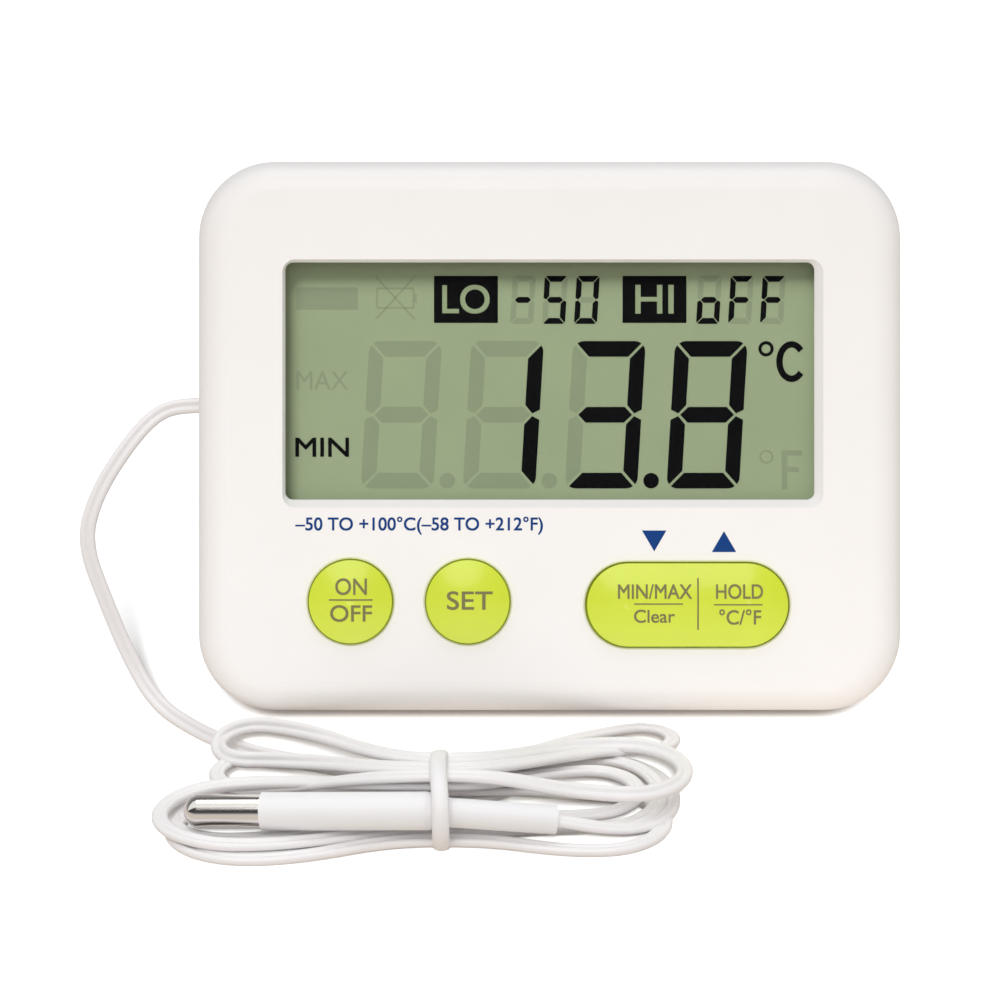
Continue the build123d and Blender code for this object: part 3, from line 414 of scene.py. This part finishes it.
# Unit signs: a ring and a narrow C, and the unlit ring and F
on_shapes += ring_polygons(33.85, 5.1, 1.2, 0.5)
on_shapes += ring_polygons(37.85, 3.1, 2.4, 1.0, start=40, sweep=280, stretch=1.33)
ghost_shapes += ring_polygons(33.9, -11.8, 1.1, 0.3)
ghost_shapes += [box_polygon(36.3, -16.9, 37.2, -10.8), box_polygon(37.2, -11.6, 39.5, -10.8),
                 box_polygon(37.2, -14.2, 39.0, -13.4)]
# Unlit battery sign, crossed out
for start, end in (((-27.2, 16.4), (-21.1, 9.7)), ((-21.1, 16.4), (-27.2, 9.7)), ((-27.0, 14.55), (-21.3, 14.55)),
                   ((-27.0, 11.5), (-21.3, 11.5)), ((-27.0, 11.5), (-27.0, 14.55)), ((-21.3, 11.5), (-21.3, 14.55))):
    ghost_shapes.append(line_polygon(start, end, BATTERY_STROKE))
ghost_shapes.append(box_polygon(-21.2, 12.3, -20.8, 13.7))
# Dark blocks, whose words stay open, and the unlit one
on_shapes += [box_polygon(-18.1, 9.15, -8.1, 16.5), box_polygon(11.4, 9.15, 21.4, 16.5)]
ghost_shapes.append(box_polygon(-39.6, 11.2, -30.0, 14.7))
sheet("lcd_segments", [("MIN", (-39.8, -11.8, -31.4, -8.8), 0.1)], on_shapes, SEGMENT_ON, "case",
      display_lift)
sheet("lcd_ghosts", [("MAX", (-39.6, -1.3, -31.5, 1.6), 0.0)], ghost_shapes, SEGMENT_GHOST, "case",
      display_lift)
sheet("lcd_words", [("LO", (-16.8, 10.6, -9.4, 15.1), 0.14), ("HI", (13.4, 10.6, 19.4, 15.1), 0.14)], [],
      SEGMENT_WORD, "case", word_lift)

# ---------------------------------------------------------------- print on the front and on the keys
TRIANGLE_WIDTH = 3.8
TRIANGLE_HEIGHT = 3.25
marks = []
for x, foot, way in ((16.2, 28.2, -1), (27.05, 24.85, 1)):
    marks.append([(x - TRIANGLE_WIDTH / 2, foot), (x + TRIANGLE_WIDTH / 2, foot), (x, foot + way * TRIANGLE_HEIGHT)])
sheet("front_print", [("\u201350 TO +100\u00b0C(\u201358 TO +212\u00b0F)", (-39.6, 27.55, -1.1, 30.35), 0.08)], marks,
      PRINT_BLUE, "case", face_lift)
sheet("on_off_legend", [("ON", (-33.3, 18.2, -28.4, 20.8), 0.06), ("OFF", (-34.1, 14.05, -27.6, 16.65), 0.06)],
      [box_polygon(-34.3, 17.33, -27.5, 17.56)], LEGEND, "on_off_key", key_lift("button_on_off"), True)
sheet("set_legend", [("SET", (-16.0, 15.9, -8.9, 18.8), 0.07)], [], LEGEND, "set_key",
      key_lift("button_set"), True)
sheet("rocker_legend", [("MIN/MAX", (10.5, 17.6, 22.0, 19.9), 0.06), ("Clear", (13.0, 13.9, 19.35, 15.95), 0.06),
                        ("HOLD", (25.7, 17.6, 33.0, 19.9), 0.06),
                        ("\u00b0C/\u00b0F", (26.2, 13.6, 32.7, 16.0), 0.06)],
      [box_polygon(13.0, 16.71, 20.6, 16.92), box_polygon(25.4, 16.6, 32.9, 16.81),
       box_polygon(22.8, 12.8, 23.04, 20.85)], LEGEND, "rocker_key", key_lift("button_rocker"), True)

# ---------------------------------------------------------------- the cord's line
STRAND_RADIUS = 0.66
STRAND_OFFSET = 0.6
FREE_STRETCH = [
    (-53.0, 2.77, 46.45),
    (-58.6, 2.7, 46.8),
    (-63.2, 0.9, 45.6),
    (-68.0, -2.0, 40.4),
    (-72.4, -4.8, 33.6),
    (-74.2, -7.1, 26.8),
    (-70.8, -9.6, 17.6),
    (-67.0, -11.9, 8.6),
    (-62.8, -15.4, 2.6),
    (-57.4, -21.0, 1.3),
    (-51.4, -27.6, 1.3),
    (-44.6, -33.0, 1.3),
]
LEAD_IN = [(-36.0, -38.5, 2.6), (-28.0, -46.5, 6.0)]
LEAD_OUT = [(6.6, -62.4, 3.2), (0.4, -62.8, 4.7), (-4.0, -63.3, 5.2)]
TIE_X = -16.3
TIE_Y = -60.3
TIE_Z = 6.8
TIE_REACH = 4.0
# Where each run of the cord passes through the tie: y and height
SLOTS = [
    (-53.8, 9.4),
    (-58.4, 10.9),
    (-56.0, 11.3),
    (-60.8, 10.9),
    (-54.4, 7.2),
    (-60.6, 1.8),
    (-59.5, 8.9),
    (-57.8, 2.0),
    (-56.9, 6.9),
    (-63.2, 1.7),
    (-56.0, 4.6),
]
# Each fold: side of the tie, middle in x and y, half length, half width, height at its back, end and
# front, and how far the flat cord turns from lying on its side towards the front, in degrees
FOLDS = [
    (1, 14.0, -31.4, 5.2, 4.4, 3.4, 3.4, 3.6, -10),
    (-1, -45.5, -35.0, 5.8, 6.8, 4.6, 4.2, 4.6, 65),
    (1, 10.0, -47.6, 10.4, 10.6, 5.2, 5.6, 6.6, 40),
    (-1, -46.2, -43.6, 4.6, 4.7, 3.6, 3.2, 2.8, 5),
    (1, 8.0, -49.2, 8.5, 11.0, 3.3, 2.6, 2.0, 0),
    (-1, -47.0, -57.6, 11.4, 8.8, 4.4, 3.0, 2.2, 10),
    (1, 6.5, -50.5, 6.5, 6.6, 4.0, 3.6, 2.6, 0),
    (-1, -47.5, -55.4, 9.2, 7.2, 1.5, 1.3, 1.4, 0),
    (1, 7.0, -56.0, 10.0, 9.8, 1.3, 1.3, 1.0, 0),
    (-1, -45.0, -59.0, 11.4, 9.4, 1.3, 1.2, 0.8, 0),
    (1, 9.0, -48.6, 9.5, 12.6, 2.0, 1.4, 2.2, 5),
]
FREE_FACING = 65.0
TIE_FACING = 10.0
FOLD_POINTS = 7
FOLD_TURN = 105.0
LEG_SHARES = (0.0, 0.3, 0.65)


def ease(share):
    """Smooth rise from 0 to 1."""
    return share * share * (3 - 2 * share)


def leg(slot, side, foot):
    """Control points from the tie towards the foot of a fold, each with its facing."""
    begin = (TIE_X + side * TIE_REACH, *slot, TIE_FACING)
    return [tuple(a + (b - a) * (t if k == 0 else ease(t)) for k, (a, b) in enumerate(zip(begin, foot)))
            for t in LEG_SHARES]


def fold(side, x, y, half_length, half_width, back, end, front, facing):
    """Control points round the end of one fold, each with its facing. Right-hand folds start at the
    back and left-hand ones at the front."""
    arc = []
    for k in range(FOLD_POINTS):
        share = side * (1 - 2 * k / (FOLD_POINTS - 1))
        angle = math.radians(FOLD_TURN * share)
        height = end + (back - end) * max(share, 0) + (front - end) * max(-share, 0)
        arc.append((x + side * half_length * math.cos(angle), y + half_width * math.sin(angle), height, facing))
    return arc


route = [(*point, FREE_FACING) for point in FREE_STRETCH] + [(*point, TIE_FACING) for point in LEAD_IN]
for index, turn in enumerate(FOLDS):
    arc = fold(*turn)
    route += leg(SLOTS[index], turn[0], arc[0])
    if index + 1 < len(FOLDS):
        route += arc + leg(SLOTS[index + 1], turn[0], arc[-1])[::-1]
    else:
        route += arc[:-1]
route += [(*point, TIE_FACING) for point in LEAD_OUT]


def smooth_line(points):
    """Points along the NURBS line that has these control points, in metres."""
    curve = bpy.data.curves.new("line", "CURVE")
    curve.dimensions = "3D"
    curve.resolution_u = 10
    spline = curve.splines.new("NURBS")
    spline.points.add(len(points) - 1)
    for point, target in zip(spline.points, points):
        point.co = (*(Vector(target) * MM), 1)
    spline.order_u = 3
    spline.use_endpoint_u = True
    holder = bpy.data.objects.new("line", curve)
    bpy.context.scene.collection.objects.link(holder)
    bpy.context.view_layer.update()
    mesh = bpy.data.meshes.new_from_object(holder)
    line = [vertex.co.copy() for vertex in mesh.vertices]
    bpy.data.objects.remove(holder)
    bpy.data.curves.remove(curve)
    bpy.data.meshes.remove(mesh)
    return line


def tube_object(name, rings, made, body, closed=False):
    """Skin over rings of points; open ends are capped."""
    size = len(rings[0])
    count = len(rings)
    vertices = [tuple(point) for ring in rings for point in ring]
    faces = []
    for k in range(count if closed else count - 1):
        after = (k + 1) % count
        for j in range(size):
            faces.append((k * size + j, k * size + (j + 1) % size, after * size + (j + 1) % size, after * size + j))
    if not closed:
        faces += [tuple(range(size))[::-1], tuple(range((count - 1) * size, count * size))]
    mesh = bpy.data.meshes.new(name)
    mesh.from_pydata(vertices, [], faces)
    mesh.materials.append(made)
    mesh.shade_smooth()
    obj = bpy.data.objects.new(name, mesh)
    bpy.context.scene.collection.objects.link(obj)
    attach(obj, body)
    return obj


def twin_section(steps=9):
    """Outline of two joined strands side by side: across and through the flat cord, in mm."""
    open_angle = math.degrees(math.acos(STRAND_OFFSET / STRAND_RADIUS)) + 6
    half = [math.radians(-180 + open_angle + (360 - 2 * open_angle) * k / steps) for k in range(steps + 1)]
    right = [(STRAND_OFFSET + STRAND_RADIUS * math.cos(a), STRAND_RADIUS * math.sin(a)) for a in half]
    return right + [(-x, -y) for x, y in right]


line = smooth_line([point[:3] for point in route])
facings = [point.x / MM for point in smooth_line([(facing, 0, 0) for x, y, z, facing in route])]
rings = []
section = twin_section()
for k, (point, facing) in enumerate(zip(line, facings)):
    tangent = (line[min(k + 1, len(line) - 1)] - line[max(k - 1, 0)]).normalized()
    broadside = Vector((0, -math.sin(math.radians(facing)), math.cos(math.radians(facing))))
    across = tangent.cross(broadside).normalized()
    through = across.cross(tangent)
    rings.append([point + (across * x + through * y) * MM for x, y in section])
cord = tube_object("cord", rings, CORD_WHITE, "case")
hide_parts("probe_cord", "cord_hank")

# ---------------------------------------------------------------- the tie round the hank
TIE_SIZE = (18.8, 13.6)
TIE_BAND = (2.5, 1.6)
TIE_PULL = 0.5
TIE_FLATNESS = 0.8
TIE_STEPS = 16


def tie_rings(count=72):
    """Rings of a soft band: a rounded strip that goes round the hank, its top pulled a little left."""
    rings = []
    for k in range(count):
        angle = 2 * math.pi * k / count
        outward = Vector((0, math.cos(angle), math.sin(angle)))
        middle = Vector((TIE_X - TIE_PULL * max(0.0, math.sin(angle)) ** 3,
                         TIE_Y + (TIE_SIZE[0] / 2 - TIE_BAND[1] / 2) * math.cos(angle),
                         TIE_Z + (TIE_SIZE[1] / 2 - TIE_BAND[1] / 2) * math.sin(angle)))
        ring = []
        for j in range(TIE_STEPS):
            turn = 2 * math.pi * j / TIE_STEPS
            width = TIE_BAND[0] / 2 * math.copysign(abs(math.cos(turn)) ** TIE_FLATNESS, math.cos(turn))
            depth = TIE_BAND[1] / 2 * math.sin(turn)
            ring.append((middle + RIGHT * width + outward * depth) * MM)
        rings.append(ring)
    return rings


tie = tube_object("tie_band", tie_rings(), TIE_WHITE, "case", closed=True)
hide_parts("cord_tie")

# ---------------------------------------------------------------- camera, floor and light
# Lamps: a level of 1 lights a white surface that faces the lamp to white; powers are in watts
WORLD_LEVEL = 0.575
KEY_LEVEL = 0.19
TOP_LEVEL = 0.2
HANK_LEVEL = 0.11
DISPLAY_LEVEL = 1.04
FLOOR_LEVEL = 1.9
# Soft boxes in front of the housing: place right of, above and out from the foot of its face, and size
LOW_POWER = 0.027
LOW_PLACE = (0.0, -15.0, 130.0)
LOW_SIZE = (240.0, 60.0)
CHIN_POWER = 0.87
CHIN_PLACE = (0.0, -330.0, 500.0)
CHIN_SIZE = (500.0, 160.0)
CHIN_COLOUR = (1.0, 0.94, 0.87)
# Reflected studio: degrees up from the front horizon over the top to the back one, and brightness
PANEL_STOPS = [(0, 0.7), (10, 0.6), (16, 0.06), (50, 0.05), (56, 1.0), (108, 1.0), (114, 0.10), (180, 0.5)]
FLOOR_REACH = 3.0
SENSOR_WIDTH = 36.0
LENS = 115.8
VIEW_DISTANCE = 500.0
VIEW_ASIDE = (-7.77, 32.94)

floor_mesh = bpy.data.meshes.new("floor")
floor_corners = [(x * FLOOR_REACH, y * FLOOR_REACH, 0) for x, y in ((-1, -1), (1, -1), (1, 1), (-1, 1))]
floor_mesh.from_pydata(floor_corners, [], [(0, 1, 2, 3)])
floor = bpy.data.objects.new("floor", floor_mesh)
bpy.context.scene.collection.objects.link(floor)
floor_made, new, link, shader = material("floor_white")
seen = shade(new, link, noise(new, link, 8.0), (0.935, 0.935, 0.935), (0.94, 0.94, 0.94))
bounced = shade(new, link, noise(new, link, 8.0), (0.49, 0.44, 0.39), (0.50, 0.45, 0.40))
shader.inputs["Roughness"].default_value = 0.9
shader.inputs["Specular IOR Level"].default_value = 0.0
light_path = new.new("ShaderNodeLightPath")
floor_colour = new.new("ShaderNodeMix")
floor_colour.data_type = "RGBA"
link(light_path.outputs["Is Camera Ray"], floor_colour.inputs["Factor"])
link(bounced, floor_colour.inputs["A"])
link(seen, floor_colour.inputs["B"])
link(floor_colour.outputs["Result"], shader.inputs["Base Color"])
floor_mesh.materials.append(floor_made)

# World: even for soft light, a dark studio with a bright panel overhead for reflections, white where it is seen
world = bpy.data.worlds.new("studio")
bpy.context.scene.world = world
world.use_nodes = True
new, link = world.node_tree.nodes, world.node_tree.links.new
direction = new.new("ShaderNodeTexCoord")
parts = new.new("ShaderNodeSeparateXYZ")
towards = new.new("ShaderNodeMath")
towards.operation = "MULTIPLY"
towards.inputs[1].default_value = -1.0
elevation = new.new("ShaderNodeMath")
elevation.operation = "ARCTAN2"
share = new.new("ShaderNodeMath")
share.operation = "DIVIDE"
share.inputs[1].default_value = math.pi
ramp = new.new("ShaderNodeValToRGB")
stops = ramp.color_ramp.elements
for element, (degrees, level) in zip([stops[0], stops[1]] + [stops.new(0.5) for _ in PANEL_STOPS[2:]], PANEL_STOPS):
    element.position = degrees / 180
    element.color = (level, level * 0.985, level * 0.965, 1)
link(direction.outputs["Generated"], parts.inputs["Vector"])
link(parts.outputs["Y"], towards.inputs[0])
link(parts.outputs["Z"], elevation.inputs[0])
link(towards.outputs["Value"], elevation.inputs[1])
link(elevation.outputs["Value"], share.inputs[0])
link(share.outputs["Value"], ramp.inputs["Fac"])
world_path = new.new("ShaderNodeLightPath")
panel = new.new("ShaderNodeBackground")
link(ramp.outputs["Color"], panel.inputs["Color"])
even = new["Background"]
even.inputs["Color"].default_value = (1, 1, 1, 1)
even.inputs["Strength"].default_value = WORLD_LEVEL
mixed = new.new("ShaderNodeMixShader")
link(world_path.outputs["Is Glossy Ray"], mixed.inputs[0])
link(even.outputs["Background"], mixed.inputs[1])
link(panel.outputs["Background"], mixed.inputs[2])
backdrop = new.new("ShaderNodeBackground")
backdrop.inputs["Color"].default_value = (1, 1, 1, 1)
behind = new.new("ShaderNodeMixShader")
link(world_path.outputs["Is Camera Ray"], behind.inputs[0])
link(mixed.outputs["Shader"], behind.inputs[1])
link(backdrop.outputs["Background"], behind.inputs[2])
link(behind.outputs["Shader"], new["World Output"].inputs["Surface"])


def lamp_for(data, towards_it, lights):
    """Lamp object that shines from a direction on the listed objects only."""
    lamp = bpy.data.objects.new(data.name, data)
    lamp.rotation_euler = (-Vector(towards_it)).to_track_quat("-Z", "Y").to_euler()
    bpy.context.scene.collection.objects.link(lamp)
    receivers = bpy.data.collections.new(data.name + "_receivers")
    for obj in sorted(lights, key=lambda obj: obj.name):
        receivers.objects.link(obj)
    lamp.light_linking.receiver_collection = receivers
    return lamp


def sun(name, towards_it, level, spread_degrees, lights):
    """Distant soft lamp."""
    data = bpy.data.lights.new(name, "SUN")
    data.energy = level * math.pi
    data.angle = math.radians(spread_degrees)
    lamp_for(data, towards_it, lights)


def panel_lamp(name, x, up, out, size, power, lights, shadow=True, colour=(1, 1, 1)):
    """Soft box that faces the foot of the housing's front, its size and place in mm from there."""
    data = bpy.data.lights.new(name, "AREA")
    data.energy = power
    data.color = colour
    data.shape = "RECTANGLE"
    data.size, data.size_y = size[0] * MM, size[1] * MM
    data.use_shadow = shadow
    lamp_for(data, UP * up + OUT * out, lights).location = place(x, base_up + up, face_out + out)


# The display, the housing and the hank each have their own light, so that each keeps the tone of the real thing
dressed = {obj for obj in bpy.context.scene.objects if obj.type == "MESH"} - {floor}
display = {obj for obj in dressed if obj.name.startswith("lcd_")}
hank = {cord, tie, nodes["probe_tube"], nodes["probe_sleeve"]}
housing = dressed - display - hank
sun("key", RIGHT * -0.08 + UP * 0.4 + OUT * 0.91, KEY_LEVEL, 30.0, dressed - display)
sun("top", UP * 0.95 + OUT * 0.22, TOP_LEVEL, 40.0, dressed - display)
sun("hank_key", RIGHT * -0.1 + UP * 0.5 + OUT * 0.85, HANK_LEVEL, 25.0, hank)
sun("display_key", RIGHT * -0.38 + UP * 0.85 + OUT * 0.75, DISPLAY_LEVEL, 22.0, display)
sun("floor_light", UP * 0.16 + OUT, FLOOR_LEVEL, 8.0, {floor})
panel_lamp("low", *LOW_PLACE, LOW_SIZE, LOW_POWER, housing)
panel_lamp("chin", *CHIN_PLACE, CHIN_SIZE, CHIN_POWER, housing, False, CHIN_COLOUR)

shell_low, shell_high = spread("front_shell")
camera_data = bpy.data.cameras.new("camera")
camera_data.sensor_width = SENSOR_WIDTH
camera_data.lens = LENS
camera = bpy.data.objects.new("camera", camera_data)
camera.location = place(VIEW_ASIDE[0], shell_low[1] + VIEW_ASIDE[1], shell_high[2] + VIEW_DISTANCE)
camera.rotation_euler = (math.pi / 2 - LEAN, 0, 0)
bpy.context.scene.collection.objects.link(camera)
bpy.context.scene.camera = camera
bpy.context.scene.view_settings.view_transform = "Standard"
